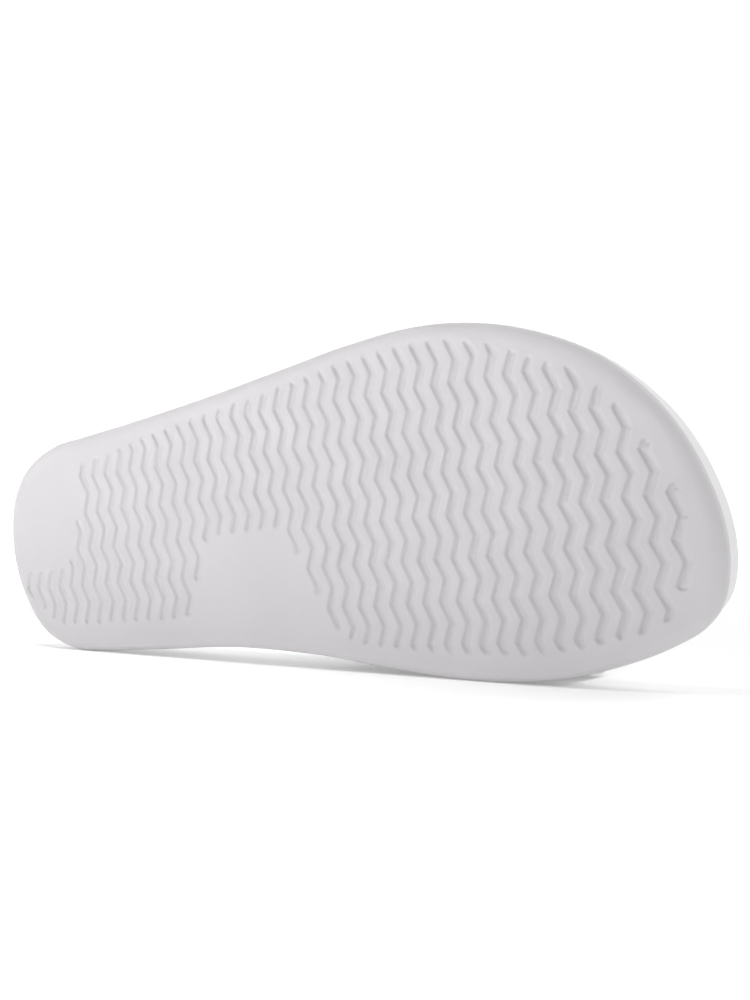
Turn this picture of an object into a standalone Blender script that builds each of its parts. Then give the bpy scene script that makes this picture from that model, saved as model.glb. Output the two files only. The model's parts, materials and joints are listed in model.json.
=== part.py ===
"""Sport slide sandal for the right foot, lying on its medial side.

The shoe is modelled standing: X runs from heel to toe, Y towards the medial side and Z up,
with the flat of the tread at Z = 0. An empty then lays the whole shoe on its medial side.
Heights are taken square to the tread, so the heel and toe bend carries every piece with it.
"""

import math
from collections import namedtuple

import bmesh
import bpy
from mathutils import Matrix, Vector

# Sole, in metres
SOLE_LENGTH = 0.2825
BALL_WIDTH = 0.1030
OUTSOLE_THICKNESS = 0.0050
EDGE_WIDTH = 0.0045
EDGE_HEIGHT = 0.0030
TOE_SPRING_RADIUS = 0.268
HEEL_LIFT_RADIUS = 0.345

# Footbed
RIM_HEIGHT = 0.0320
RIM_ROUND = 0.0022
RIM_BAND = 0.0032
DISH_DEPTH = 0.0070
DISH_RUN = 0.0120
DISH_SAG = 0.0010
ARCH_RISE = 0.0035
SIDE_LEAN = math.radians(9.5)

# Strap
STRAP_HEIGHT = 0.0860
STRAP_WALL = 0.0038
STRAP_EDGE = 0.0012

# Tread
GROOVE_PITCH = 0.0062
GROOVE_WIDTH = 0.0026
GROOVE_DEPTH = 0.0014
ZIGZAG_PERIOD = 0.01234
ZIGZAG_REACH = 0.00128

# Clearance between pieces that are cemented together
SEAM_GAP = 0.0003

# Where the flat of the tread ends, as shares of the sole's length
HEEL_LIFT_END = 0.1455
TOE_SPRING_START = 0.7143

# Shares of the groove's width, from its centre to the floor line, and of the pitch and period
GROOVE_FLOOR = -0.30
FIRST_GROOVE = 1.69
ZIGZAG_PHASE = 0.08

# Middle and half length of the arch's rise, as shares of the sole's length
ARCH_STATION = 0.42
ARCH_SPREAD = 0.12

# Shares: how square to the shoe's line the outline is where its side wall leans in full, how far
# the rim has turned halfway round, how deep the dish is and how high the arch at half their run,
# and how much of the strap's wall is rounded off each face at its edges
FULL_LEAN = 0.58
RIM_TURN = 0.3
DISH_HALFWAY = 0.62
ARCH_HALFWAY = 0.60
EDGE_THIN = 0.3

# How far from square to the shoe's medial side a face that it lies on may be
SIDE_SPREAD = math.radians(25)

# How far the cutters of the strap's seats reach out past its face
SEAT_REACH = 2 * EDGE_WIDTH

SHARP_ANGLE = math.radians(40)

SIDE_STATIONS = 37
EDGE_STEPS = 3
BED_ROWS = 4
STRAP_STEPS = 5
SEAT_FOLDS = 5
CURVE_STEPS = 2

Outline = namedtuple("Outline", "station lateral medial")
Height = namedtuple("Height", "station rim dish ridge")
Fold = namedtuple("Fold", "across up wall front back")
Field = namedtuple("Field", "station start end")

# Station as a share of SOLE_LENGTH, half widths as shares of half BALL_WIDTH
OUTLINE = (
    Outline(0.000, 0.000, 0.000),
    Outline(0.013, 0.317, 0.293),
    Outline(0.049, 0.544, 0.559),
    Outline(0.110, 0.680, 0.691),
    Outline(0.161, 0.709, 0.709),
    Outline(0.258, 0.761, 0.713),
    Outline(0.382, 0.839, 0.717),
    Outline(0.505, 0.932, 0.781),
    Outline(0.594, 1.000, 0.862),
    Outline(0.682, 1.037, 0.934),
    Outline(0.753, 1.012, 0.963),
    Outline(0.822, 0.922, 0.955),
    Outline(0.894, 0.736, 0.889),
    Outline(0.944, 0.482, 0.804),
    Outline(0.971, 0.258, 0.728),
    Outline(0.991, -0.018, 0.592),
    Outline(1.000, -0.330, 0.330),
)

# Rim as a share of RIM_HEIGHT, dish of DISH_DEPTH, the strap's ridge of STRAP_HEIGHT
HEIGHTS = (
    Height(0.00, 1.000, 0.90, 1.02),
    Height(0.15, 0.980, 1.00, 1.02),
    Height(0.35, 0.900, 0.82, 1.02),
    Height(0.50, 0.815, 0.62, 0.98),
    Height(0.65, 0.705, 0.50, 0.84),
    Height(0.80, 0.610, 0.42, 0.69),
    Height(0.92, 0.560, 0.50, 0.58),
    Height(1.00, 0.545, 0.60, 0.52),
)

# The strap's outer face from its lateral end to its medial end. Across is a share of the sole's
# half width on that side, up a share of the strap's rise over the outsole, wall a share of
# STRAP_WALL, and front and back are its two edges as stations of the sole.
FOLDS = (
    Fold(-0.700, 0.000, 0.62, 0.790, 0.520),
    Fold(-0.860, 0.000, 0.62, 0.790, 0.520),
    Fold(-0.950, 0.018, 0.62, 0.790, 0.519),
    Fold(-0.968, 0.105, 0.70, 0.789, 0.516),
    Fold(-0.925, 0.280, 0.90, 0.786, 0.508),
    Fold(-0.840, 0.530, 1.00, 0.780, 0.494),
    Fold(-0.630, 0.800, 1.00, 0.774, 0.480),
    Fold(-0.300, 0.960, 1.00, 0.771, 0.470),
    Fold(0.080, 1.000, 1.00, 0.773, 0.466),
    Fold(0.460, 0.950, 1.00, 0.780, 0.468),
    Fold(0.800, 0.815, 1.00, 0.789, 0.474),
    Fold(1.000, 0.680, 1.00, 0.796, 0.482),
    Fold(1.060, 0.550, 1.00, 0.802, 0.490),
    Fold(1.045, 0.380, 1.00, 0.807, 0.499),
    Fold(1.003, 0.210, 0.90, 0.811, 0.506),
    Fold(0.970, 0.105, 0.70, 0.812, 0.510),
    Fold(0.950, 0.018, 0.62, 0.812, 0.511),
    Fold(0.860, 0.000, 0.62, 0.812, 0.511),
    Fold(0.700, 0.000, 0.62, 0.812, 0.511),
)

# Where each groove starts and ends across the sole, as shares of half BALL_WIDTH. It leaves a
# plain margin, a plain panel at the back of the heel and a plain panel under the arch.
FIELD = (
    Field(0.037, 0.145, 0.317),
    Field(0.059, 0.140, 0.412),
    Field(0.081, 0.142, 0.478),
    Field(0.103, 0.137, 0.518),
    Field(0.125, 0.078, 0.525),
    Field(0.147, -0.183, 0.525),
    Field(0.169, -0.552, 0.527),
    Field(0.300, -0.675, 0.522),
    Field(0.322, -0.690, 0.508),
    Field(0.344, -0.706, 0.292),
    Field(0.366, -0.723, 0.048),
    Field(0.388, -0.737, 0.008),
    Field(0.476, -0.806, 0.000),
    Field(0.498, -0.828, 0.171),
    Field(0.520, -0.848, 0.417),
    Field(0.542, -0.865, 0.635),
    Field(0.564, -0.883, 0.689),
    Field(0.586, -0.900, 0.722),
    Field(0.674, -0.950, 0.780),
    Field(0.739, -0.938, 0.806),
    Field(0.783, -0.880, 0.817),
    Field(0.827, -0.775, 0.806),
    Field(0.871, -0.690, 0.779),
    Field(0.893, -0.573, 0.755),
    Field(0.915, -0.475, 0.736),
    Field(0.937, -0.272, 0.680),
    Field(0.960, -0.018, 0.520),
)


def clear_scene():
    """Remove whatever the file already holds."""
    for item in list(bpy.data.objects):
        bpy.data.objects.remove(item, do_unlink=True)


def smooth(keys, values, at):
    """Smooth curve through the values, read at one place."""
    last = len(keys) - 1
    at = min(max(at, keys[0]), keys[-1])
    i = max(k for k in range(last) if keys[k] <= at)

    def slope(k):
        low, high = max(k - 1, 0), min(k + 1, last)
        return (values[high] - values[low]) / (keys[high] - keys[low])

    span = keys[i + 1] - keys[i]
    t = (at - keys[i]) / span
    return ((2 * t ** 3 - 3 * t ** 2 + 1) * values[i]
            + (t ** 3 - 2 * t ** 2 + t) * span * slope(i)
            + (3 * t ** 2 - 2 * t ** 3) * values[i + 1]
            + (t ** 3 - t ** 2) * span * slope(i + 1))


def straight(rows, column, station):
    """Straight lines through a column of a table, read at one station."""
    for low, high in zip(rows, rows[1:]):
        if station <= high.station:
            break
    t = (station - low.station) / (high.station - low.station)
    return (1 - t) * getattr(low, column) + t * getattr(high, column)


def round_ends(station):
    """A station as an angle, which makes the outline's two ends round."""
    return math.acos(1 - 2 * min(max(station, 0), 1))


def half_width(column, station):
    """The sole's half width on one side of its line, in metres."""
    keys = [round_ends(row.station) for row in OUTLINE]
    values = [getattr(row, column) for row in OUTLINE]
    return smooth(keys, values, round_ends(station)) * BALL_WIDTH / 2


def height(column, station):
    """A share from the table of heights."""
    keys = [row.station for row in HEIGHTS]
    return smooth(keys, [getattr(row, column) for row in HEIGHTS], station)


def place(x, y, up):
    """A point of the flat pattern, bent along the heel lift and the toe spring."""
    heel, toe = HEEL_LIFT_END * SOLE_LENGTH, TOE_SPRING_START * SOLE_LENGTH
    if x > toe:
        turn, radius = (x - toe) / TOE_SPRING_RADIUS, TOE_SPRING_RADIUS
        return Vector((toe + (radius - up) * math.sin(turn), y, radius - (radius - up) * math.cos(turn)))
    if x < heel:
        turn, radius = (heel - x) / HEEL_LIFT_RADIUS, HEEL_LIFT_RADIUS
        return Vector((heel - (radius - up) * math.sin(turn), y, radius - (radius - up) * math.cos(turn)))
    return Vector((x, y, up))


def outline_points():
    """Points round the sole with their outward normals: lateral side first, then medial."""
    stations = [(1 - math.cos(math.pi * j / (SIDE_STATIONS - 1))) / 2 for j in range(SIDE_STATIONS)]
    flat = [Vector((s * SOLE_LENGTH, -half_width("lateral", s))) for s in stations]
    flat += [Vector((s * SOLE_LENGTH, half_width("medial", s))) for s in stations[-2:0:-1]]
    points = []
    for i, point in enumerate(flat):
        along = (flat[(i + 1) % len(flat)] - flat[i - 1]).normalized()
        points.append((point, Vector((along.y, -along.x))))
    return points


def finish_mesh(name, mesh, colour, roughness):
    """A named object with its own material, shaded smooth but for its sharp edges."""
    mesh.name = name
    piece = bpy.data.objects.new(name, mesh)
    bpy.context.scene.collection.objects.link(piece)
    material = bpy.data.materials.new(name + "_material")
    material.use_nodes = True
    shader = material.node_tree.nodes["Principled BSDF"]
    shader.inputs["Base Color"].default_value = (*colour, 1)
    shader.inputs["Roughness"].default_value = roughness
    shader.inputs["Metallic"].default_value = 0
    mesh.materials.append(material)
    mesh.shade_smooth()
    mesh.set_sharp_from_angle(angle=SHARP_ANGLE)
    return piece


def as_cutter(name, shape):
    """A hidden object that only cuts others."""
    mesh = bpy.data.meshes.new(name)
    bmesh.ops.recalc_face_normals(shape, faces=shape.faces)
    shape.to_mesh(mesh)
    shape.free()
    cutter = bpy.data.objects.new(name, mesh)
    bpy.context.scene.collection.objects.link(cutter)
    cutter.hide_render = True
    cutter.display_type = 'WIRE'
    return cutter


def cut(piece, cutter):
    """Cut one object with another."""
    modifier = piece.modifiers.new(cutter.name, 'BOOLEAN')
    modifier.operation = 'DIFFERENCE'
    modifier.solver = 'EXACT'
    modifier.object = cutter


def bridge(shape, first, second):
    """Faces between two rings of points."""
    for i in range(len(first)):
        j = (i + 1) % len(first)
        shape.faces.new((first[i], first[j], second[j], second[i]))


def fill_across(shape, ring, rows=1, lower=None):
    """Close a ring with rungs from its lateral to its medial side."""
    count = len(ring)
    half = count // 2
    rungs = []
    for i in range(1, half):
        left, right = ring[i], ring[count - i]
        rung = [left]
        for step in range(1, rows):
            share = step / rows
            point = left.co.lerp(right.co, share)
            rung.append(shape.verts.new(point - Vector((0, 0, lower * math.sin(math.pi * share)))))
        rungs.append(rung + [right])
    for low, high in zip(rungs, rungs[1:]):
        for k in range(rows):
            shape.faces.new((low[k], high[k], high[k + 1], low[k + 1]))
    for k in range(rows):
        shape.faces.new((ring[0], rungs[0][k], rungs[0][k + 1]))
        shape.faces.new((ring[half], rungs[-1][k + 1], rungs[-1][k]))


def to_mesh(name, shape):
    """Turn every face outwards and hand the shape over as a mesh."""
    bmesh.ops.recalc_face_normals(shape, faces=shape.faces)
    mesh = bpy.data.meshes.new(name)
    shape.to_mesh(mesh)
    shape.free()
    return mesh


def make_outsole(outline):
    """Bottom unit: tread face, rounded edge, low wall and the face under the footbed."""
    shape = bmesh.new()

    def ring(inset, up):
        return [shape.verts.new(place(*(point - normal * inset), up)) for point, normal in outline]

    rings = []
    for step in range(EDGE_STEPS + 1):
        turn = math.pi / 2 * step / EDGE_STEPS
        rings.append(ring(EDGE_WIDTH * (1 - math.sin(turn)), EDGE_HEIGHT * (1 - math.cos(turn))))
    rings.append(ring(0, OUTSOLE_THICKNESS))
    for low, high in zip(rings, rings[1:]):
        bridge(shape, low, high)
    fill_across(shape, rings[0])
    fill_across(shape, rings[-1])
    return finish_mesh("outsole", to_mesh("outsole", shape), (0.70, 0.68, 0.70), 0.55)


def groove_path(x):
    """The zigzag of one groove across the sole, from its start to its end."""
    station = x / SOLE_LENGTH
    start = straight(FIELD, "start", station) * BALL_WIDTH / 2
    end = straight(FIELD, "end", station) * BALL_WIDTH / 2
    half_period = ZIGZAG_PERIOD / 2

    def zigzag(y):
        steps = y / half_period - 2 * ZIGZAG_PHASE
        low = math.floor(steps)
        wave = (steps - low) * 2 - 1
        return x + ZIGZAG_REACH * (wave if low % 2 == 0 else -wave)

    first = math.ceil(start / half_period - 2 * ZIGZAG_PHASE)
    turns = [(first + k + 2 * ZIGZAG_PHASE) * half_period for k in range(int(BALL_WIDTH / half_period))]
    inner = [y for y in turns if start + ZIGZAG_REACH < y < end - ZIGZAG_REACH]
    return [(zigzag(y), y) for y in [start] + inner + [end]]


def make_tread():
    """Cutter for the tread: one zigzag groove a pitch, steep on its heel side."""
    shape = bmesh.new()
    spread = GROOVE_DEPTH / 2
    floor = GROOVE_FLOOR * GROOVE_WIDTH
    grow = 1 + spread / GROOVE_DEPTH
    heel_edge = floor + (-GROOVE_WIDTH / 2 - floor) * grow
    toe_edge = floor + (GROOVE_WIDTH / 2 - floor) * grow
    x = FIRST_GROOVE * GROOVE_PITCH
    while x < FIELD[-1].station * SOLE_LENGTH:
        rows = []
        for along, y in groove_path(x):
            section = ((heel_edge, -spread), (floor, GROOVE_DEPTH), (toe_edge, -spread))
            rows.append([shape.verts.new(place(along + side, y, up)) for side, up in section])
        for low, high in zip(rows, rows[1:]):
            bridge(shape, low, high)
        shape.faces.new(rows[0])
        shape.faces.new(rows[-1])
        x += GROOVE_PITCH
    return as_cutter("tread_cutter", shape)


def make_footbed(outline):
    """Foam bed: leaning side wall, rounded rim, and a dished top with an arch on the medial side."""
    shape = bmesh.new()
    base = OUTSOLE_THICKNESS + SEAM_GAP
    half = len(outline) // 2

    def lean(normal):
        return math.tan(SIDE_LEAN) * min(1, (1 - normal.x ** 2) / FULL_LEAN)

    def arch(i, station):
        rise = math.exp(-((station - ARCH_STATION) / ARCH_SPREAD) ** 2)
        return ARCH_RISE * rise if i > half else 0

    def ring(inset, drop, sink, raised):
        verts = []
        for i, (point, normal) in enumerate(outline):
            station = point.x / SOLE_LENGTH
            rim = height("rim", station) * RIM_HEIGHT
            up = rim - drop - sink * height("dish", station) * DISH_DEPTH + raised * arch(i, station)
            wall = (up if drop > 0 else rim - RIM_ROUND) - base
            spot = point - normal * (lean(normal) * wall + inset)
            verts.append(shape.verts.new(place(*spot, up)))
        return verts

    foot = [shape.verts.new(place(*point, base)) for point, normal in outline]
    rings = [foot, ring(0, RIM_ROUND, 0, 0), ring(RIM_TURN * RIM_ROUND, RIM_TURN * RIM_ROUND, 0, 0)]
    rings.append(ring(RIM_ROUND, 0, 0, 0))
    rings.append(ring(RIM_ROUND + RIM_BAND, 0, 0, 0))
    rings.append(ring(RIM_ROUND + RIM_BAND + DISH_RUN / 2, 0, DISH_HALFWAY, ARCH_HALFWAY))
    rings.append(ring(RIM_ROUND + RIM_BAND + DISH_RUN, 0, 1, 1))
    for low, high in zip(rings, rings[1:]):
        bridge(shape, low, high)
    fill_across(shape, rings[0])
    fill_across(shape, rings[-1], BED_ROWS, DISH_SAG)
    return finish_mesh("footbed", to_mesh("footbed", shape), (0.80, 0.80, 0.80), 0.6)


def strap_folds(first, last):
    """The folds between two rows of the table, with smooth steps between them."""
    keys = list(range(len(FOLDS)))
    columns = [[getattr(row, name) for row in FOLDS] for name in Fold._fields]
    steps = range(first * CURVE_STEPS, last * CURVE_STEPS + 1)
    return [Fold(*(smooth(keys, column, step / CURVE_STEPS) for column in columns)) for step in steps]


def strap_section(folds, share, grow):
    """The outer line of the strap at one share of its way from front edge to back edge."""
    line = []
    for fold in folds:
        x = ((1 - share) * fold.front + share * fold.back) * SOLE_LENGTH + (1 - 2 * share) * grow
        station = x / SOLE_LENGTH
        side = "lateral" if fold.across < 0 else "medial"
        y = fold.across * half_width(side, station)
        rise = height("ridge", station) * STRAP_HEIGHT - OUTSOLE_THICKNESS - SEAM_GAP
        line.append(Vector((x, y, OUTSOLE_THICKNESS + SEAM_GAP + fold.up * rise)))
    return line


def strap_inwards(line):
    """Directions from the outer line into the wall, square to it."""
    ways = []
    for i in range(len(line)):
        along = line[min(i + 1, len(line) - 1)] - line[max(i - 1, 0)]
        ways.append(Vector((0, along.z, -along.y)).normalized())
    return ways


def strap_loft(shape, folds, sections, grow, tip):
    """Closed band through the sections: each is a share, and the wall's near and far depth."""
    rows = []
    for share, near, far in sections:
        line = strap_section(folds, share, grow)
        line[0] = line[0] + (line[0] - line[1]).normalized() * tip
        line[-1] = line[-1] + (line[-1] - line[-2]).normalized() * tip
        inward = strap_inwards(line)
        outer = [shape.verts.new(place(*(p + way * near(fold)))) for p, way, fold in zip(line, inward, folds)]
        inner = [shape.verts.new(place(*(p + way * far(fold)))) for p, way, fold in zip(line, inward, folds)]
        rows.append((outer, inner))
    for (outer, inner), (next_outer, next_inner) in zip(rows, rows[1:]):
        bridge(shape, outer + inner[::-1], next_outer + next_inner[::-1])
    for outer, inner in (rows[0], rows[-1]):
        for k in range(len(outer) - 1):
            shape.faces.new((outer[k], outer[k + 1], inner[k + 1], inner[k]))


def make_strap():
    """The upper: one broad band over the forefoot, its ends turned in under the footbed."""
    shape = bmesh.new()
    length = (FOLDS[0].front - FOLDS[0].back) * SOLE_LENGTH
    edge = STRAP_EDGE / length
    steps = [edge + (1 - 2 * edge) * k / STRAP_STEPS for k in range(STRAP_STEPS + 1)]

    def full(share):
        return share, lambda fold: 0, lambda fold: fold.wall * STRAP_WALL

    def thin(share):
        near, far = EDGE_THIN * STRAP_WALL, (1 - EDGE_THIN) * STRAP_WALL
        return share, lambda fold: near * fold.wall, lambda fold: far * fold.wall

    sections = [thin(0)] + [full(share) for share in steps] + [thin(1)]
    strap_loft(shape, strap_folds(0, len(FOLDS) - 1), sections, 0, 0)
    return finish_mesh("strap", to_mesh("strap", shape), (0.82, 0.82, 0.83), 0.45)


def make_strap_seat(name, first, last):
    """Cutter for the recess in the footbed that takes one end of the strap."""
    shape = bmesh.new()
    sections = [
        (step / STRAP_STEPS, lambda fold: -SEAT_REACH, lambda fold: fold.wall * STRAP_WALL + SEAM_GAP)
        for step in range(STRAP_STEPS + 1)
    ]
    strap_loft(shape, strap_folds(first, last), sections, SEAM_GAP, SEAM_GAP)
    return as_cutter(name, shape)


def balance_point(pieces):
    """Centre of the foam's volume, which the shoe balances about."""
    volume, moment = 0, Vector()
    for piece in pieces:
        piece.data.calc_loop_triangles()
        for triangle in piece.data.loop_triangles:
            a, b, c = (piece.data.vertices[k].co for k in triangle.vertices)
            part = a.dot(b.cross(c)) / 6
            volume += part
            moment += part * (a + b + c) / 4
    return moment / volume


def side_rest(pieces):
    """Direction of the floor when the shoe lies at its lowest on its medial side."""
    hull = bmesh.new()
    for piece in pieces:
        for vertex in piece.data.vertices:
            hull.verts.new(vertex.co)
    bmesh.ops.convex_hull(hull, input=hull.verts)
    balance = balance_point(pieces)
    rests = [
        ((face.verts[0].co - balance).dot(face.normal), *face.normal)
        for face in hull.faces if face.normal.y > math.cos(SIDE_SPREAD)
    ]
    hull.free()
    return Vector(min(rests)[1:])


def lay_down(pieces):
    """Parent the pieces to an empty that lays the shoe on its side, centred over the floor."""
    down = side_rest(pieces)
    up = -down
    forward = (Vector((1, 0, 0)) - up * up.x).normalized()
    turn = Matrix((forward, up.cross(forward), up))
    points = [turn @ vertex.co for piece in pieces for vertex in piece.data.vertices]
    low = [min(point[axis] for point in points) for axis in range(3)]
    high = [max(point[axis] for point in points) for axis in range(3)]
    shift = Vector((-(low[0] + high[0]) / 2, -(low[1] + high[1]) / 2, -low[2]))
    lie = bpy.data.objects.new("shoe_lie", None)
    bpy.context.scene.collection.objects.link(lie)
    lie.matrix_world = Matrix.Translation(shift) @ turn.to_4x4()
    return lie


def build():
    """The whole shoe."""
    clear_scene()
    outline = outline_points()
    outsole = make_outsole(outline)
    footbed = make_footbed(outline)
    strap = make_strap()
    lie = lay_down([outsole, footbed, strap])
    tread = make_tread()
    last = len(FOLDS) - 1
    seats = [make_strap_seat("lateral_seat", 0, SEAT_FOLDS), make_strap_seat("medial_seat", last - SEAT_FOLDS, last)]
    cut(outsole, tread)
    for seat in seats:
        cut(footbed, seat)
    for piece in [outsole, footbed, strap, tread] + seats:
        piece.parent = lie


build()
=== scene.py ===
"""Sport slide sandal for the right foot, lying on its medial side with the tread to the camera."""

import math
from bisect import bisect
from collections import namedtuple

import bpy
from mathutils import Matrix, Vector
from mathutils.kdtree import KDTree
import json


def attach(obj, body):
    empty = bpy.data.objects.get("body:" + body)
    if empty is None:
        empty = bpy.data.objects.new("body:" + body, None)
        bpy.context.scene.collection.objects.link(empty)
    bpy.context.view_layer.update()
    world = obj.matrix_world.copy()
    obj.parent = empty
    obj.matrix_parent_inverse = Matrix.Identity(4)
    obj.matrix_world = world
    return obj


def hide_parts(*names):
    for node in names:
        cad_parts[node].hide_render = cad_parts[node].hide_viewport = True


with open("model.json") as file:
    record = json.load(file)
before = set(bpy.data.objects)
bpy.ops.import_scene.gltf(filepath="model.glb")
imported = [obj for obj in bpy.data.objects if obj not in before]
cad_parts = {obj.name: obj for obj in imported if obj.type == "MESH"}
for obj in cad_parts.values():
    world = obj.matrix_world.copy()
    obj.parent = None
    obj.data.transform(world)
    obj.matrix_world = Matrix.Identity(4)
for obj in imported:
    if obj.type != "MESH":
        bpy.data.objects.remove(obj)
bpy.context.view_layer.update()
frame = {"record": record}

# ---- The way the shoe lies ----
# Each piece is shaped standing on its sole, X from heel to toe, Y to the medial side, Z up from the
# tread. The shoe then goes down on its medial side as one, as the flat panel under its arch says.
ARCH_PANEL = Vector((0.121, 0.015, 0.0))
CREASE_ANGLE = math.radians(50)

flat_panel = frame["record"]["mounts"][0]
shoe_up = -Vector(flat_panel["axis"]).normalized()
shoe_forward = Vector((0, 1, 0)).cross(shoe_up).normalized()
shoe_inward = shoe_up.cross(shoe_forward)
LIE = Matrix((shoe_forward, shoe_inward, shoe_up)).transposed().to_4x4()
LIE.translation = Vector(flat_panel["pos_m"]) - LIE.to_3x3() @ ARCH_PANEL


def lay_down(piece, body):
    """Lay a finished piece down with the shoe, and leave its place in its mesh."""
    bpy.ops.object.select_all(action='DESELECT')
    piece.select_set(True)
    bpy.context.view_layer.objects.active = piece
    piece.matrix_world = LIE
    bpy.ops.object.transform_apply(location=True, rotation=True, scale=True)
    bpy.ops.object.shade_smooth_by_angle(angle=CREASE_ANGLE)
    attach(piece, body)


# ---- Outsole ----
# The bottom unit is moulded in pale foam rubber. Its edge is rolled, and 43 zigzag grooves cross
# it: each drops on its heel side and slopes out softly on its toe side. The mould leaves a plain
# margin, a plain panel at the back of the heel and another under the arch.
SOLE_LENGTH = 0.2825
BALL_WIDTH = 0.1030
OUTSOLE_THICKNESS = 0.0050
EDGE_WIDTH = 0.0045
EDGE_HEIGHT = 0.0030
SEAM_ROUND = 0.0004
SEAM_BREAK = 0.3
TOE_SPRING_RADIUS = 0.268
HEEL_LIFT_RADIUS = 0.345
HEEL_LIFT_END = 0.1455 * SOLE_LENGTH
TOE_SPRING_START = 0.7143 * SOLE_LENGTH

GROOVE_PITCH = 0.0062
GROOVE_COUNT = 43
FIRST_GROOVE = 1.69 * GROOVE_PITCH
GROOVE_END_RADIUS = 0.0013
GROOVE_END_RUN = 0.0009
ZIGZAG_PERIOD = 0.01234
ZIGZAG_REACH = 0.00128
ZIGZAG_PHASE = 0.16
ZIGZAG_ROUNDING = 0.985
ZIGZAG_EASE = 0.005
HEEL_DEPTH_SHARE = 0.44
TOE_DEPTH_SHARE = 0.75

RUBBER_SHADES = ((0.584, 0.568, 0.584), (0.612, 0.596, 0.612))
RUBBER_ROUGHNESS = 0.62
RUBBER_SHINE = 0.35

TREAD_ROWS = 132
MARGIN_COLUMNS = 9
LAND_COLUMNS = 3
EDGE_STEPS = 9
OUTLINE_STEP = 0.004
HALVINGS = 30
SAME_SPOT = 0.00001
SLIVER = 0.00004

Outline = namedtuple("Outline", "station lateral medial")
Field = namedtuple("Field", "station start end")
Groove = namedtuple("Groove", "along depth")

# Station as a share of SOLE_LENGTH, half widths as shares of half BALL_WIDTH
OUTLINE = (
    Outline(0.000, 0.000, 0.000),
    Outline(0.013, 0.317, 0.293),
    Outline(0.049, 0.544, 0.559),
    Outline(0.110, 0.680, 0.691),
    Outline(0.161, 0.709, 0.709),
    Outline(0.258, 0.761, 0.713),
    Outline(0.382, 0.839, 0.717),
    Outline(0.505, 0.932, 0.781),
    Outline(0.594, 1.000, 0.862),
    Outline(0.682, 1.037, 0.934),
    Outline(0.753, 1.012, 0.963),
    Outline(0.822, 0.922, 0.955),
    Outline(0.894, 0.736, 0.889),
    Outline(0.944, 0.482, 0.804),
    Outline(0.971, 0.258, 0.728),
    Outline(0.991, -0.018, 0.592),
    Outline(1.000, -0.330, 0.330),
)

# Where each groove starts and ends across the sole, as shares of half BALL_WIDTH
FIELD = (
    Field(0.037, 0.145, 0.317),
    Field(0.059, 0.140, 0.412),
    Field(0.081, 0.142, 0.478),
    Field(0.103, 0.137, 0.518),
    Field(0.125, 0.078, 0.525),
    Field(0.147, -0.183, 0.525),
    Field(0.169, -0.552, 0.527),
    Field(0.300, -0.675, 0.522),
    Field(0.322, -0.690, 0.508),
    Field(0.344, -0.706, 0.292),
    Field(0.366, -0.723, 0.048),
    Field(0.388, -0.737, 0.008),
    Field(0.476, -0.806, 0.000),
    Field(0.498, -0.828, 0.171),
    Field(0.520, -0.848, 0.417),
    Field(0.542, -0.865, 0.635),
    Field(0.564, -0.883, 0.689),
    Field(0.586, -0.900, 0.722),
    Field(0.674, -0.950, 0.780),
    Field(0.739, -0.938, 0.806),
    Field(0.783, -0.880, 0.817),
    Field(0.827, -0.775, 0.806),
    Field(0.871, -0.690, 0.779),
    Field(0.893, -0.573, 0.755),
    Field(0.915, -0.475, 0.736),
    Field(0.937, -0.272, 0.680),
    Field(0.960, -0.018, 0.520),
)

# The section of a groove in metres, from its heel side to its toe side
GROOVE = (
    Groove(-0.00160, 0.00000),
    Groove(-0.00144, 0.00008),
    Groove(-0.00127, 0.00034),
    Groove(-0.00109, 0.00072),
    Groove(-0.00090, 0.00108),
    Groove(-0.00068, 0.00133),
    Groove(-0.00042, 0.00140),
    Groove(0.00000, 0.00126),
    Groove(0.00058, 0.00092),
    Groove(0.00116, 0.00050),
    Groove(0.00150, 0.00016),
    Groove(0.00172, 0.00000),
)


def smooth(keys, values, at):
    """Smooth curve through the values, read at one place."""
    last = len(keys) - 1
    at = min(max(at, keys[0]), keys[-1])
    i = max(k for k in range(last) if keys[k] <= at)

    def slope(k):
        low, high = max(k - 1, 0), min(k + 1, last)
        return (values[high] - values[low]) / (keys[high] - keys[low])

    span = keys[i + 1] - keys[i]
    t = (at - keys[i]) / span
    return ((2 * t ** 3 - 3 * t ** 2 + 1) * values[i]
            + (t ** 3 - 2 * t ** 2 + t) * span * slope(i)
            + (3 * t ** 2 - 2 * t ** 3) * values[i + 1]
            + (t ** 3 - t ** 2) * span * slope(i + 1))


def straight(rows, column, station):
    """Straight lines through a column of a table, read at one station."""
    for low, high in zip(rows, rows[1:]):
        if station <= high.station:
            break
    t = (station - low.station) / (high.station - low.station)
    return (1 - t) * getattr(low, column) + t * getattr(high, column)


def round_ends(station):
    """A station as an angle, which makes the outline's two ends round."""
    return math.acos(1 - 2 * min(max(station, 0), 1))


def half_width(column, station):
    """The sole's half width on one side of its line."""
    keys = [round_ends(row.station) for row in OUTLINE]
    return smooth(keys, [getattr(row, column) for row in OUTLINE], round_ends(station)) * BALL_WIDTH / 2


def outline_spot(side, turn):
    """A point of the sole's outline and the outward direction there; turn goes from heel to toe."""
    sign = -1 if side == "lateral" else 1

    def at(angle):
        station = (1 - math.cos(angle)) / 2
        return Vector((station * SOLE_LENGTH, sign * half_width(side, station), 0))

    along = at(min(turn + OUTLINE_STEP, math.pi)) - at(max(turn - OUTLINE_STEP, 0))
    if turn < OUTLINE_STEP or turn > math.pi - OUTLINE_STEP:
        along = Vector((0, 1 if turn < OUTLINE_STEP else -1, 0)) * sign
    return at(turn), Vector((-along.y, along.x, 0)).normalized() * sign


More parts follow.
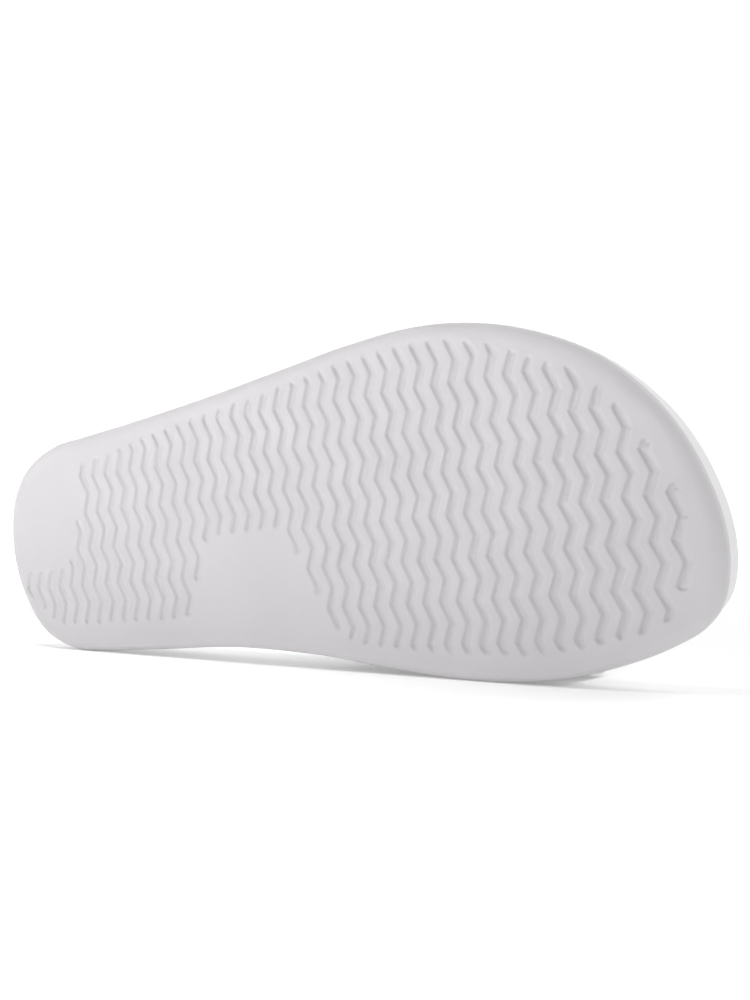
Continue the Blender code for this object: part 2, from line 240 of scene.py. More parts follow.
def spot_under(side, x, line):
    """The outline's spot whose point on an inner line has this x, found by halving."""
    low, high = 0, math.pi
    for _ in range(HALVINGS):
        middle = (low + high) / 2
        if line(*outline_spot(side, middle)).x < x:
            low = middle
        else:
            high = middle
    return outline_spot(side, middle)


def sole_sheet(name, columns, row_count, line):
    """A grid that fills an inner line of the sole. Its open edge remembers its spots on the outline."""
    bpy.ops.object.select_all(action='DESELECT')
    bpy.ops.mesh.primitive_grid_add(x_subdivisions=len(columns) - 1, y_subdivisions=row_count, size=1)
    sheet = bpy.context.object
    sheet.name = sheet.data.name = name
    spots = [(spot_under("lateral", x, line), spot_under("medial", x, line)) for x in columns]
    spot_of = sheet.data.attributes.new("spot", 'INT', 'POINT')
    edge = [spot for pair in spots for spot in pair]
    for vertex in sheet.data.vertices:
        i = round((vertex.co.x + 0.5) * (len(columns) - 1))
        j = round((vertex.co.y + 0.5) * row_count)
        lateral, medial = (line(*spot) for spot in spots[i])
        vertex.co = lateral.lerp(medial, j / row_count)
        vertex.co.x = columns[i]
        spot_of.data[vertex.index].value = 2 * i + (1 if j > row_count / 2 else 0)
    return sheet, edge


def select_open_edge():
    """Select only the open edge of the mesh being edited."""
    bpy.ops.mesh.select_all(action='DESELECT')
    bpy.ops.mesh.select_non_manifold(use_wire=False, use_multi_face=False, use_non_contiguous=False)


def grow_edge(piece, edge, lines):
    """Extrude the open edge of a sheet to each line of the outline in turn, and close the last."""
    bpy.context.view_layer.objects.active = piece
    bpy.context.tool_settings.mesh_select_mode = (True, False, False)
    bpy.ops.object.mode_set(mode='EDIT')
    bpy.ops.mesh.select_all(action='SELECT')
    bpy.ops.mesh.remove_doubles(threshold=SAME_SPOT)
    for line in lines:
        select_open_edge()
        bpy.ops.mesh.extrude_region_move()
        bpy.ops.object.mode_set(mode='OBJECT')
        spot_of = piece.data.attributes["spot"].data
        for vertex in piece.data.vertices:
            if vertex.select:
                vertex.co = line(*edge[spot_of[vertex.index].value])
        bpy.ops.object.mode_set(mode='EDIT')
    bpy.ops.mesh.select_all(action='SELECT')
    bpy.ops.mesh.remove_doubles(threshold=SLIVER)
    select_open_edge()
    bpy.ops.mesh.fill(use_beauty=True)
    bpy.ops.mesh.select_all(action='SELECT')
    bpy.ops.mesh.normals_make_consistent(inside=False)
    bpy.ops.object.mode_set(mode='OBJECT')


def bend(point):
    """A point of the flat pattern, bent along the heel lift and the toe spring."""
    x, y, up = point
    if x > TOE_SPRING_START:
        start, radius, way = TOE_SPRING_START, TOE_SPRING_RADIUS, 1
    elif x < HEEL_LIFT_END:
        start, radius, way = HEEL_LIFT_END, HEEL_LIFT_RADIUS, -1
    else:
        return Vector((x, y, up))
    turn = way * (x - start) / radius
    from_middle = radius - up
    return Vector((start + way * from_middle * math.sin(turn), y, radius - from_middle * math.cos(turn)))


def bend_piece(piece):
    """Bend a piece that was shaped on the flat pattern."""
    for vertex in piece.data.vertices:
        vertex.co = bend(vertex.co)
    piece.data.attributes.remove(piece.data.attributes["spot"])


def zigzag(y):
    """How far a groove lies towards the toe at one place across the sole."""
    wave = math.sin(math.pi * (2 * y / ZIGZAG_PERIOD - ZIGZAG_PHASE - 0.5))
    return ZIGZAG_REACH * math.asin(ZIGZAG_ROUNDING * wave) / math.asin(ZIGZAG_ROUNDING)


def groove_depth(along, inside):
    """Depth of a groove beside its middle line, this far inside its end, which is round."""
    if inside <= 0:
        return 0
    if inside < GROOVE_END_RADIUS:
        along /= math.sqrt(1 - (1 - inside / GROOVE_END_RADIUS) ** 2)
    if abs(along) >= GROOVE[-1].along:
        return 0
    run = math.sin(min(inside / GROOVE_END_RUN, 1) * math.pi / 2)
    return run * smooth([row.along for row in GROOVE], [row.depth for row in GROOVE], along)


def tread_line(point, outward):
    """Inner end of the rolled edge, where the flat of the tread starts."""
    return point - outward * EDGE_WIDTH


tread_start = EDGE_WIDTH
tread_end = SOLE_LENGTH - EDGE_WIDTH
groove_middles = [FIRST_GROOVE + k * GROOVE_PITCH for k in range(GROOVE_COUNT)]
land = GROOVE_PITCH - (GROOVE[-1].along - GROOVE[0].along)

heel_margin = groove_middles[0] + GROOVE[0].along - tread_start
toe_margin = tread_end - groove_middles[-1] - GROOVE[-1].along
tread_columns = [tread_start + heel_margin * (1 - math.cos(math.pi / 2 * k / MARGIN_COLUMNS))
                 for k in range(MARGIN_COLUMNS)]
for middle in groove_middles:
    tread_columns += [middle + row.along for row in GROOVE]
    if middle != groove_middles[-1]:
        tread_columns += [middle + GROOVE[-1].along + land * k / LAND_COLUMNS
                          for k in range(1, LAND_COLUMNS)]
tread_columns += [tread_end - toe_margin * (1 - math.sin(math.pi / 2 * k / MARGIN_COLUMNS))
                  for k in range(1, MARGIN_COLUMNS + 1)]

outsole, outsole_edge = sole_sheet("outsole_tread", tread_columns, TREAD_ROWS, tread_line)
edge_places = [tread_line(*spot).y for spot in outsole_edge]


def tread_y(x, share):
    """A place across the tread at one x, this share of the way from its lateral to its medial edge."""
    i = min(max(bisect(tread_columns, x) - 1, 0), len(tread_columns) - 2)
    t = (x - tread_columns[i]) / (tread_columns[i + 1] - tread_columns[i])
    lateral = (1 - t) * edge_places[2 * i] + t * edge_places[2 * i + 2]
    medial = (1 - t) * edge_places[2 * i + 1] + t * edge_places[2 * i + 3]
    return lateral + (medial - lateral) * share


def field_edge(column, x):
    """Where the grooves start or end across the sole at one x."""
    return straight(FIELD, column, x / SOLE_LENGTH) * BALL_WIDTH / 2


for vertex in outsole.data.vertices:
    x, y, _ = vertex.co
    lateral, medial = tread_y(x, 0), tread_y(x, 1)
    share = (y - lateral) / max(medial - lateral, ZIGZAG_REACH)
    outside = max(field_edge("start", x) - y, y - field_edge("end", x), 0)
    ease = min((x - tread_start) / heel_margin, (tread_end - x) / toe_margin, 1)
    ease *= max(1 - outside / ZIGZAG_EASE, 0)
    for _ in range(2):
        along = x + zigzag(y) * ease
        y = tread_y(along, share)
    nearest = min(groove_middles, key=lambda middle: abs(middle - x))
    inside = min(y - field_edge("start", nearest), field_edge("end", nearest) - y)
    full = HEEL_DEPTH_SHARE + (TOE_DEPTH_SHARE - HEEL_DEPTH_SHARE) * nearest / SOLE_LENGTH
    vertex.co = (along, y, full * groove_depth(x - nearest, inside))


def rolled_edge(turn):
    """A line of the outsole's rolled edge, from the tread at 0 to the side at a quarter turn."""
    def line(point, outward):
        flat = point - outward * EDGE_WIDTH * (1 - math.sin(turn))
        return Vector((flat.x, flat.y, EDGE_HEIGHT * (1 - math.cos(turn))))
    return line


def outsole_line(inset, up):
    """A line of the outsole this far in from its side and this far up."""
    def line(point, outward):
        return Vector((*(point - outward * inset).xy, up))
    return line


grow_edge(outsole, outsole_edge, (
    [rolled_edge(math.pi / 2 * step / EDGE_STEPS) for step in range(1, EDGE_STEPS + 1)]
    + [outsole_line(0, OUTSOLE_THICKNESS - SEAM_ROUND),
       outsole_line(SEAM_BREAK * SEAM_ROUND, OUTSOLE_THICKNESS - SEAM_BREAK * SEAM_ROUND),
       outsole_line(SEAM_ROUND, OUTSOLE_THICKNESS)]))
bend_piece(outsole)


def new_material(name, colour, roughness):
    """A named material with a Principled shader, and its tree."""
    material = bpy.data.materials.new(name)
    material.use_nodes = True
    shader = material.node_tree.nodes["Principled BSDF"]
    shader.inputs["Base Color"].default_value = (*colour, 1)
    shader.inputs["Roughness"].default_value = roughness
    return material, material.node_tree, shader


def object_noise(tree, scale, detail):
    """Noise over the object, this fine."""
    place = tree.nodes.new("ShaderNodeTexCoord")
    noise = tree.nodes.new("ShaderNodeTexNoise")
    noise.inputs["Scale"].default_value = scale
    noise.inputs["Detail"].default_value = detail
    tree.links.new(place.outputs["Object"], noise.inputs["Vector"])
    return noise.outputs["Fac"]


def drifting_material(name, shades, roughness, scale):
    """A named material whose colour drifts a little between two shades."""
    middle = [sum(pair) / len(pair) for pair in zip(*shades)]
    material, tree, shader = new_material(name, middle, roughness)
    ramp = tree.nodes.new("ShaderNodeValToRGB")
    for element, position, shade in zip(ramp.color_ramp.elements, (0.3, 0.7), shades):
        element.position = position
        element.color = (*shade, 1)
    tree.links.new(object_noise(tree, scale, 3), ramp.inputs["Fac"])
    tree.links.new(ramp.outputs["Color"], shader.inputs["Base Color"])
    return material, tree, shader


def add_bump(tree, shader, heights, strength, distance):
    """Add one layer of bump under what the shader already has."""
    bump = tree.nodes.new("ShaderNodeBump")
    bump.inputs["Strength"].default_value = strength
    bump.inputs["Distance"].default_value = distance
    tree.links.new(heights, bump.inputs["Height"])
    if shader.inputs["Normal"].links:
        tree.links.new(shader.inputs["Normal"].links[0].from_socket, bump.inputs["Normal"])
    tree.links.new(bump.outputs["Normal"], shader.inputs["Normal"])


foam_rubber, tree, shader = drifting_material("foam_rubber", RUBBER_SHADES, RUBBER_ROUGHNESS, scale=22)
add_bump(tree, shader, object_noise(tree, scale=60, detail=2), strength=0.25, distance=0.0004)
add_bump(tree, shader, object_noise(tree, scale=2600, detail=2), strength=0.12, distance=0.00006)
shader.inputs["Specular IOR Level"].default_value = RUBBER_SHINE

outsole.data.materials.append(foam_rubber)
lay_down(outsole, "root")
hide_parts("outsole")

# ---- Strap cover ----
# One broad band over the forefoot: coated synthetic leather bonded to foam, its front and back
# edges rounded and sewn down. Both ends go down through the footbed's recesses and turn in under it.
STRAP_HEIGHT = 0.0860
STRAP_WALL = 0.0038
SEAM_GAP = 0.0003
STRAP_BASE = OUTSOLE_THICKNESS + SEAM_GAP
COVER_SHARE = 0.84
COVER_COLUMNS = 240
COVER_ROWS = 64
HEM_WIDTH = 0.0036
HEM_SINK = 0.0006
TROUGH_WIDTH = 0.0011
PADDING = 0.0009
PADDING_RUN = 0.0075
PADDING_CURVE = 1.4
RECESS_TOP = 0.10
RECESS_FADE = 0.18
HEM_ROUND = 0.0011
HEM_SEGMENTS = 3
HEM_CORNER = math.radians(60)
TIP_SHARE = 0.002
LEATHER_SHADES = ((0.605, 0.605, 0.61), (0.635, 0.635, 0.64))
LEATHER_ROUGHNESS = 0.45

Fold = namedtuple("Fold", "across up wall front back")
Ridge = namedtuple("Ridge", "station share")

# The strap's outer face from its lateral end to its medial end. Across is a share of the sole's
# half width on that side, up a share of the strap's rise over the outsole, wall a share of
# STRAP_WALL, and front and back are its two edges as stations of the sole.
FOLDS = (
    Fold(-0.700, 0.000, 0.62, 0.790, 0.520),
    Fold(-0.860, 0.000, 0.62, 0.790, 0.520),
    Fold(-0.950, 0.018, 0.62, 0.790, 0.519),
    Fold(-0.968, 0.105, 0.70, 0.789, 0.516),
    Fold(-0.925, 0.280, 0.90, 0.786, 0.508),
    Fold(-0.840, 0.530, 1.00, 0.780, 0.494),
    Fold(-0.630, 0.800, 1.00, 0.774, 0.480),
    Fold(-0.300, 0.960, 1.00, 0.771, 0.470),
    Fold(0.080, 1.000, 1.00, 0.773, 0.466),
    Fold(0.460, 0.950, 1.00, 0.780, 0.468),
    Fold(0.800, 0.815, 1.00, 0.789, 0.474),
    Fold(1.000, 0.680, 1.00, 0.796, 0.482),
    Fold(1.060, 0.550, 1.00, 0.802, 0.490),
    Fold(1.045, 0.380, 1.00, 0.807, 0.499),
    Fold(1.003, 0.210, 0.90, 0.811, 0.506),
    Fold(0.970, 0.105, 0.70, 0.812, 0.510),
    Fold(0.950, 0.018, 0.62, 0.812, 0.511),
    Fold(0.860, 0.000, 0.62, 0.812, 0.511),
    Fold(0.700, 0.000, 0.62, 0.812, 0.511),
)

# The height of the strap's ridge along the sole, as a share of STRAP_HEIGHT
RIDGES = (
    Ridge(0.00, 1.02),
    Ridge(0.35, 1.02),
    Ridge(0.50, 0.98),
    Ridge(0.65, 0.84),
    Ridge(0.80, 0.69),
    Ridge(0.92, 0.58),
    Ridge(1.00, 0.52),
)


def fold_at(share):
    """The strap's fold at one share of its way from its lateral to its medial end."""
    keys = list(range(len(FOLDS)))
    return Fold(*(smooth(keys, column, share * keys[-1]) for column in zip(*FOLDS)))


def strap_spot(fold, across):
    """A point of the strap's outer face on the flat pattern; across goes from front to back."""
    station = (1 - across) * fold.front + across * fold.back
    side = "lateral" if fold.across < 0 else "medial"
    ridge = smooth([row.station for row in RIDGES], [row.share for row in RIDGES], station) * STRAP_HEIGHT
    y = fold.across * half_width(side, station)
    return Vector((station * SOLE_LENGTH, y, STRAP_BASE + fold.up * (ridge - STRAP_BASE)))


def strap_sheet(name, ends, columns, rows, depth, margin):
    """A sheet along the strap between two shares, this deep under its face and this far in."""
    bpy.ops.object.select_all(action='DESELECT')
    bpy.ops.mesh.primitive_grid_add(x_subdivisions=columns, y_subdivisions=rows, size=1)
    sheet = bpy.context.object
    sheet.name = sheet.data.name = name
    folds = [fold_at(ends[0] + (ends[1] - ends[0]) * i / columns) for i in range(columns + 1)]
    widths = [(fold.front - fold.back) * SOLE_LENGTH for fold in folds]
    lines = [[strap_spot(fold, (margin + (width - 2 * margin) * j / rows) / width)
              for fold, width in zip(folds, widths)] for j in range(rows + 1)]
    wall = sheet.vertex_groups.new(name="wall")
    for vertex in sheet.data.vertices:
        i = round((vertex.co.x + 0.5) * columns)
        j = round((vertex.co.y + 0.5) * rows)
        along = lines[j][min(i + 1, columns)] - lines[j][max(i - 1, 0)]
        inward = Vector((0, along.z, -along.y)).normalized()
        to_front = margin + (widths[i] - 2 * margin) * j / rows
        spot = lines[j][i] + inward * depth(folds[i], to_front, widths[i] - to_front)
        vertex.co = bend(spot)
        wall.add([vertex.index], folds[i].wall, 'REPLACE')
    return sheet


def thicken(sheet, thickness, rounding):
    """Give a sheet its thickness towards the foot, thinner in the recesses, and round its edges."""
    bpy.ops.object.select_all(action='DESELECT')
    sheet.select_set(True)
    bpy.context.view_layer.objects.active = sheet
    wall = sheet.modifiers.new("wall", 'SOLIDIFY')
    wall.thickness = thickness
    wall.offset = -1
    wall.use_even_offset = True
    wall.vertex_group = "wall"
    bpy.ops.object.modifier_apply(modifier="wall")
    edge = sheet.modifiers.new("edge", 'BEVEL')
    edge.width = rounding
    edge.segments = HEM_SEGMENTS
    edge.limit_method = 'ANGLE'
    edge.angle_limit = HEM_CORNER
    bpy.ops.object.modifier_apply(modifier="edge")


def rest_on_floor(piece):
    """Press flat what would go under the floor."""
    for vertex in piece.data.vertices:
        vertex.co.z = max(vertex.co.z, 0)


def cover_depth(fold, to_front, to_back):
    """The cover's own relief: flat hems, a sewn trough beside each, and padding between them."""
    hem = min(to_front, to_back)
    free = min(max((fold.up - RECESS_TOP) / RECESS_FADE, 0), 1)
    trough = math.exp(-((hem - HEM_WIDTH) / TROUGH_WIDTH) ** 2)
    swell = min(max((hem - HEM_WIDTH) / PADDING_RUN, 0), 1)
    return HEM_SINK * trough - free * PADDING * math.sin(swell * math.pi / 2) ** PADDING_CURVE


cover_ends = (TIP_SHARE, 1 - TIP_SHARE)
strap_cover = strap_sheet("strap_cover", cover_ends, COVER_COLUMNS, COVER_ROWS, cover_depth, 0)
thicken(strap_cover, STRAP_WALL * COVER_SHARE, HEM_ROUND)

synthetic_leather, tree, shader = drifting_material(
    "synthetic_leather", LEATHER_SHADES, LEATHER_ROUGHNESS, scale=40)
add_bump(tree, shader, object_noise(tree, scale=1500, detail=3), strength=0.30, distance=0.00022)
add_bump(tree, shader, object_noise(tree, scale=90, detail=2), strength=0.20, distance=0.0006)
shader.inputs["Coat Weight"].default_value = 0.12
shader.inputs["Coat Roughness"].default_value = 0.35
strap_cover.data.materials.append(synthetic_leather)

lay_down(strap_cover, "root")
rest_on_floor(strap_cover)
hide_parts("strap")

# ---- Strap lining ----
# A soft knitted lining backed with a little foam, bonded inside the cover. It stops short of the
# strap's edges, where the cover is turned over them.
LINING_MARGIN = 0.0062
LINING_SINK = 0.0001
LINING_ROUND = 0.0002
LINING_COLUMNS = 160
LINING_ROWS = 32
KNIT_PITCH = 0.0009
WAVE_BAND = 0.314
KNIT_SHADES = ((0.58, 0.58, 0.58), (0.62, 0.62, 0.62))
KNIT_ROUGHNESS = 0.9


def lining_depth(fold, to_front, to_back):
    """Under the cover's inner face, a little into it."""
    return cover_depth(fold, to_front, to_back) + fold.wall * COVER_SHARE * STRAP_WALL - LINING_SINK


strap_lining = strap_sheet(
    "strap_lining", cover_ends, LINING_COLUMNS, LINING_ROWS, lining_depth, LINING_MARGIN)
thicken(strap_lining, STRAP_WALL * (1 - COVER_SHARE) + LINING_SINK, LINING_ROUND)


def knit_waves(tree, axis):
    """Fine even waves over the object across one axis, as of a knit's wales and courses."""
    place = tree.nodes.new("ShaderNodeTexCoord")
    waves = tree.nodes.new("ShaderNodeTexWave")
    waves.wave_type = 'BANDS'
    waves.bands_direction = axis
    waves.inputs["Scale"].default_value = WAVE_BAND / KNIT_PITCH
    waves.inputs["Distortion"].default_value = 0.6
    tree.links.new(place.outputs["Object"], waves.inputs["Vector"])
    return waves.outputs["Fac"]


knitted_lining, tree, shader = drifting_material("knitted_lining", KNIT_SHADES, KNIT_ROUGHNESS, scale=120)
for axis in ('X', 'Z'):
    add_bump(tree, shader, knit_waves(tree, axis), strength=0.5, distance=0.0002)
shader.inputs["Sheen Weight"].default_value = 0.25
strap_lining.data.materials.append(knitted_lining)

lay_down(strap_lining, "root")

# ---- Stitching ----
# Lock stitches in bonded polyester thread hold both hems down. They lie in the sewn troughs on the
# outside, and on the turned edge inside.
STITCH_PITCH = 0.0031
STITCH_LENGTH = 0.0025
THREAD_WIDTH = 0.00058
STITCH_SINK = 0.00012
STITCH_START = 0.20
STITCH_SIDES = 8
STITCH_RINGS = 6
ROW_SPOTS = 900
THREAD_SHADES = ((0.64, 0.64, 0.645), (0.68, 0.68, 0.685))
THREAD_ROUGHNESS = 0.5

bpy.ops.object.select_all(action='DESELECT')
bpy.ops.mesh.primitive_uv_sphere_add(segments=STITCH_SIDES, ring_count=STITCH_RINGS, radius=0.5)
stitch = bpy.context.object
bpy.ops.object.mode_set(mode='EDIT')
bpy.ops.mesh.select_all(action='SELECT')
bpy.ops.transform.rotate(value=math.pi / 2, orient_axis='Y', center_override=(0, 0, 0))
bpy.ops.transform.resize(value=(STITCH_LENGTH, THREAD_WIDTH, THREAD_WIDTH), center_override=(0, 0, 0))
bpy.ops.object.mode_set(mode='OBJECT')


def hem_row(from_front, depth):
    """Places of the stitches in one row, each as a matrix: along the row, across it and outwards."""
    spots = []
    for k in range(ROW_SPOTS + 1):
        fold = fold_at(STITCH_START + (1 - 2 * STITCH_START) * k / ROW_SPOTS)
        width = (fold.front - fold.back) * SOLE_LENGTH
        across = HEM_WIDTH / width
        spots.append((fold, strap_spot(fold, across if from_front else 1 - across)))
    places = []
    travelled = 0
    for (_, low), (fold, spot) in zip(spots, spots[1:]):
        step = (spot - low).length
        if travelled % STITCH_PITCH + step >= STITCH_PITCH:
            along = (bend(spot) - bend(low)).normalized()
            outward = Vector((0, low.z - spot.z, spot.y - low.y)).normalized()
            spot = bend(spot - outward * depth(fold))
            side = outward.cross(along).normalized()
            place = Matrix((along, side, along.cross(side))).transposed().to_4x4()
            place.translation = spot
            places.append(place)
        travelled += step
    return places


def outer_depth(fold):
    """How deep a stitch lies under the strap's face in the trough."""
    return HEM_SINK - THREAD_WIDTH / 2 + STITCH_SINK


def inner_depth(fold):
    """How deep a stitch lies on the inside."""
    return fold.wall * COVER_SHARE * STRAP_WALL + THREAD_WIDTH / 2 - STITCH_SINK


stitches = []
for from_front in (True, False):
    for depth in (outer_depth, inner_depth):
        for place in hem_row(from_front, depth):
            copy = stitch.copy()
            copy.data = stitch.data.copy()
            bpy.context.collection.objects.link(copy)
            copy.matrix_world = place
            stitches.append(copy)
bpy.data.objects.remove(stitch)
bpy.ops.object.select_all(action='DESELECT')
for copy in stitches:
    copy.select_set(True)
hem_stitches = stitches[0]
bpy.context.view_layer.objects.active = hem_stitches
bpy.ops.object.transform_apply(location=True, rotation=True, scale=True)
bpy.ops.object.join()
hem_stitches.name = hem_stitches.data.name = "hem_stitches"

bonded_thread, tree, shader = drifting_material("bonded_thread", THREAD_SHADES, THREAD_ROUGHNESS, scale=300)
hem_stitches.data.materials.append(bonded_thread)
lay_down(hem_stitches, "root")
rest_on_floor(hem_stitches)

# ---- Footbed ----
# One moulding of light foam, cemented to the outsole: a smooth side wall that leans in, a rounded
# rim, a dished bed with an arch and a heel cup, and a recess in each side for an end of the strap.
RIM_HEIGHT = 0.0320
RIM_ROUND = 0.0022
RIM_BAND = 0.0032
DISH_DEPTH = 0.0070
DISH_RUN = 0.0120
DISH_SAG = 0.0010
DISH_CURVE = 1.5
ARCH_RISE = 0.0035
ARCH_STATION = 0.42
ARCH_SPREAD = 0.12
ARCH_START = -0.004
ARCH_RUN = 0.022
SIDE_LEAN = math.radians(9.5)
FULL_LEAN = 0.58
BED_COLUMNS = 120
BED_ROWS = 48
WALL_STEPS = 6
LOWEST_STEP = 0.03
RIM_STEPS = 5
SEAT_SHARE = 5 / 18
SEAT_REACH = 0.0060
SEAT_COLUMNS = 60
SEAT_ROWS = 8
FOAM_SHADES = ((0.725, 0.72, 0.72), (0.755, 0.75, 0.75))
FOAM_ROUGHNESS = 0.6
FOAM_SHINE = 0.35

Height = namedtuple("Height", "station rim dish")

# Rim as a share of RIM_HEIGHT, dish as a share of DISH_DEPTH
HEIGHTS = (
    Height(0.00, 1.000, 0.90),
    Height(0.15, 0.980, 1.00),
    Height(0.35, 0.900, 0.82),
    Height(0.50, 0.815, 0.62),
    Height(0.65, 0.705, 0.50),
    Height(0.80, 0.610, 0.42),
    Height(0.92, 0.560, 0.50),
    Height(1.00, 0.545, 0.60),
)


def height(column, station):
    """A share from the table of heights."""
    return smooth([row.station for row in HEIGHTS], [getattr(row, column) for row in HEIGHTS], station)


def edge_tree(edge, line):
    """The points of an inner line of the sole, to measure how far inside it a place is."""
    points = KDTree(len(edge))
    for k, spot in enumerate(edge):
        points.insert(line(*spot).xy.to_3d(), k)
    points.balance()
    return points


def bed_wall(inset, drop, share=1):
    """A line of the side wall or rim: inset and drop are from the rim's outer corner."""
    base = OUTSOLE_THICKNESS + SEAM_GAP

    def line(point, outward):
        rim = height("rim", point.x / SOLE_LENGTH) * RIM_HEIGHT
        lean = math.tan(SIDE_LEAN) * min(1, (1 - outward.x ** 2) / FULL_LEAN)
        top = rim - RIM_ROUND - base
        up = base + top * share if share < 1 else rim - drop
        spot = point - outward * (lean * min(up - base, top) + inset)
        return Vector((spot.x, spot.y, up))
    return line


bed_line = bed_wall(RIM_ROUND + RIM_BAND, 0)
bed_start = bed_line(*outline_spot("lateral", 0)).x
bed_end = bed_line(*outline_spot("lateral", math.pi)).x
bed_columns = [bed_start + (bed_end - bed_start) * (1 - math.cos(math.pi * k / BED_COLUMNS)) / 2
               for k in range(BED_COLUMNS + 1)]
footbed, footbed_edge = sole_sheet("foam_bed", bed_columns, BED_ROWS, bed_line)

bed_edge = edge_tree(footbed_edge, bed_line)
for vertex in footbed.data.vertices:
    x, y, _ = vertex.co
    station = x / SOLE_LENGTH
    inside = bed_edge.find((x, y, 0))[2]
    sink = math.sin(min(inside / DISH_RUN, 1) * math.pi / 2) ** DISH_CURVE
    rise = ARCH_RISE * math.exp(-((station - ARCH_STATION) / ARCH_SPREAD) ** 2)
    rise *= min(max((y - ARCH_START) / ARCH_RUN, 0), 1) ** 2
    up = height("rim", station) * RIM_HEIGHT - sink * height("dish", station) * DISH_DEPTH
    vertex.co.z = up + sink * (rise - DISH_SAG * inside / (BALL_WIDTH / 2))

grow_edge(footbed, footbed_edge, (
    [bed_wall(RIM_ROUND * (1 - math.sin(turn)), RIM_ROUND * (1 - math.cos(turn)))
     for turn in (math.pi / 2 * step / RIM_STEPS for step in range(RIM_STEPS + 1))]
    + [bed_wall(0, 0, 1 - step / WALL_STEPS) for step in range(1, WALL_STEPS)]
    + [bed_wall(0, 0, LOWEST_STEP), bed_wall(SEAM_ROUND, 0, 0)]))
bend_piece(footbed)


def seat_depth(fold, to_front, to_back):
    """The bottom of a recess, a seam's gap under the strap's inner face."""
    return fold.wall * STRAP_WALL + SEAM_GAP


def seat_clearance(fold, to_front, to_back):
    """A recess is open to the side: it is cut clear of the strap's outer face."""
    return -SEAT_REACH


def seat_block(name, ends):
    """The block that cuts one recess, from clear of the strap's outer face to the recess's bottom."""
    block = strap_sheet(name, ends, SEAT_COLUMNS, SEAT_ROWS, seat_clearance, -SEAM_GAP)
    bottom = strap_sheet(name, ends, SEAT_COLUMNS, SEAT_ROWS, seat_depth, -SEAM_GAP)
    bpy.context.view_layer.objects.active = block
    reach = block.modifiers.new("reach", 'SOLIDIFY')
    reach.thickness = SEAT_REACH
    reach.offset = -1
    bpy.ops.object.modifier_apply(modifier="reach")
    for vertex in bottom.data.vertices:
        block.data.vertices[len(bottom.data.vertices) + vertex.index].co = vertex.co
    bpy.data.objects.remove(bottom)
    return block


for name, ends in (("lateral_seat", (0, SEAT_SHARE)), ("medial_seat", (1 - SEAT_SHARE, 1))):
    seat = seat_block(name, ends)
    bpy.context.view_layer.objects.active = footbed
    recess = footbed.modifiers.new(name, 'BOOLEAN')
    recess.operation = 'DIFFERENCE'
    recess.solver = 'MANIFOLD'
    recess.object = seat
    bpy.ops.object.modifier_apply(modifier=name)
    bpy.data.objects.remove(seat)

moulded_foam, tree, shader = drifting_material("moulded_foam", FOAM_SHADES, FOAM_ROUGHNESS, scale=30)
add_bump(tree, shader, object_noise(tree, scale=900, detail=3), strength=0.25, distance=0.0002)
shader.inputs["Specular IOR Level"].default_value = FOAM_SHINE
footbed.data.materials.append(moulded_foam)

lay_down(footbed, "root")
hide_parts("footbed")

# ---- Studio ----
# A white sweep with soft light all round: a broad lamp behind the shoe, a weak one low on the left,
# and one straight down on the floor in front of it.
CAMERA_PLACE = (0.37371, -0.43990, 0.05010)
CAMERA_HEADING = math.radians(40.473)
CAMERA_TILT = math.radians(0.162)
CAMERA_LENS = 64.4
CAMERA_SENSOR = 36
FLOOR_SIZE = 12
SWEEP_WHITE = (0.92, 0.92, 0.92)
SWEEP_ROUGHNESS = 0.9
# The floor's glow is painted light: faint near the shoe, which lightens its shadows there, and brighter
# further out in place of lamplight on the far floor.
GLOW_FROM = 0.32
GLOW_TO = 0.95
NEAR_PAINTED_GLOW = 0.17
FAR_PAINTED_GLOW = 0.55
SKY_LEAN = 0.35
OVERHEAD_FROM = 0.30
OVERHEAD_TO = 0.80
HORIZON_SHARE = 1.06
OVERHEAD_SHARE = 0.64
RIGHT_FROM = -0.30
RIGHT_TO = 0.70
RIGHT_SHARE = 0.74
FLOOR_LAMP_SPREAD = math.radians(35)

Softbox = namedtuple("Softbox", "name place aim size power")

SOFTBOXES = (
    Softbox("behind", (0.5, 1.0, 1.5), (0, 0, 0.05), 1.2, 7.5),
    Softbox("low_left", (-1.2, -0.8, 0.2), (0, 0, 0.05), 0.7, 0.8),
    Softbox("floor_lamp", (-0.25, -0.55, 1.2), (-0.25, -0.55, 0), 0.7, 4),
)

bpy.ops.object.camera_add(location=CAMERA_PLACE, rotation=(math.pi / 2 + CAMERA_TILT, 0, CAMERA_HEADING))
camera = bpy.context.object
camera.data.lens = CAMERA_LENS
camera.data.sensor_width = CAMERA_SENSOR
bpy.context.scene.camera = camera


def map_range(tree, value, low, high, at_low, at_high):
    """A value carried from one range to another, and held past its ends."""
    carry = tree.nodes.new("ShaderNodeMapRange")
    carry.inputs["From Min"].default_value = low
    carry.inputs["From Max"].default_value = high
    carry.inputs["To Min"].default_value = at_low
    carry.inputs["To Max"].default_value = at_high
    tree.links.new(value, carry.inputs["Value"])
    return carry.outputs["Result"]
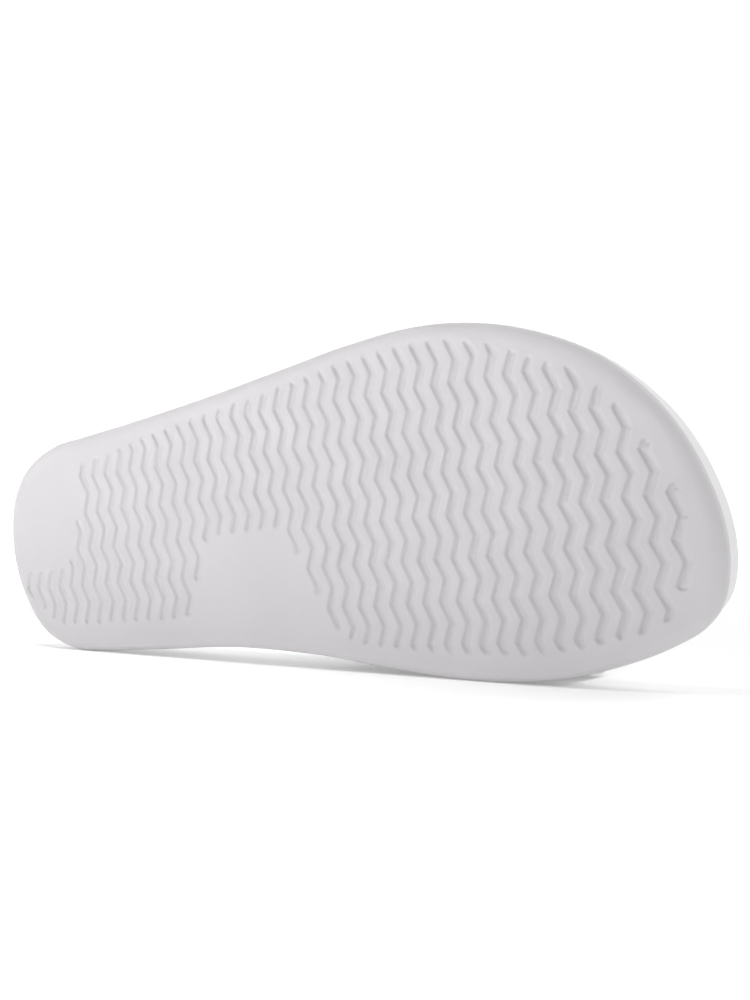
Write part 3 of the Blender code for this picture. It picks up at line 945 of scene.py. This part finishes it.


# The floor emits light as painted light, weakest near the shoe and rising with distance from it.
bpy.ops.mesh.primitive_plane_add(size=FLOOR_SIZE, location=(0, 0, 0))
floor = bpy.context.object
floor.name = "floor"
white_sweep, tree, shader = new_material("white_sweep", SWEEP_WHITE, SWEEP_ROUGHNESS)
shader.inputs["Emission Color"].default_value = (1, 1, 1, 1)
place = tree.nodes.new("ShaderNodeTexCoord")
away = tree.nodes.new("ShaderNodeVectorMath")
away.operation = 'LENGTH'
tree.links.new(place.outputs["Object"], away.inputs[0])
painted_glow = map_range(tree, away.outputs["Value"], GLOW_FROM, GLOW_TO, NEAR_PAINTED_GLOW, FAR_PAINTED_GLOW)
tree.links.new(painted_glow, shader.inputs["Emission Strength"])
floor.data.materials.append(white_sweep)

world = bpy.data.worlds.new("studio")
world.use_nodes = True
tree = world.node_tree
way = tree.nodes.new("ShaderNodeTexCoord")
axes = tree.nodes.new("ShaderNodeSeparateXYZ")
tree.links.new(way.outputs["Generated"], axes.inputs["Vector"])
overhead = tree.nodes.new("ShaderNodeVectorMath")
overhead.operation = 'DOT_PRODUCT'
overhead.inputs[1].default_value = (0, -SKY_LEAN, 1)
tree.links.new(way.outputs["Generated"], overhead.inputs[0])
sky_up = map_range(
    tree, overhead.outputs["Value"], OVERHEAD_FROM, OVERHEAD_TO, HORIZON_SHARE, OVERHEAD_SHARE)
sky_right = map_range(tree, axes.outputs["X"], RIGHT_FROM, RIGHT_TO, 1, RIGHT_SHARE)
sky = tree.nodes.new("ShaderNodeMath")
sky.operation = 'MULTIPLY'
tree.links.new(sky_up, sky.inputs[0])
tree.links.new(sky_right, sky.inputs[1])
tree.links.new(sky.outputs["Value"], tree.nodes["Background"].inputs["Strength"])
tree.nodes["Background"].inputs["Color"].default_value = (1, 1, 1, 1)
bpy.context.scene.world = world
bpy.context.scene.view_settings.view_transform = 'Standard'

for softbox in SOFTBOXES:
    bpy.ops.object.light_add(type='AREA', location=softbox.place)
    lamp = bpy.context.object
    lamp.name = softbox.name
    lamp.data.size = softbox.size
    lamp.data.energy = softbox.power
    lamp.rotation_euler = (Vector(softbox.aim) - Vector(softbox.place)).to_track_quat('-Z', 'Y').to_euler()
bpy.data.objects["floor_lamp"].data.spread = FLOOR_LAMP_SPREAD
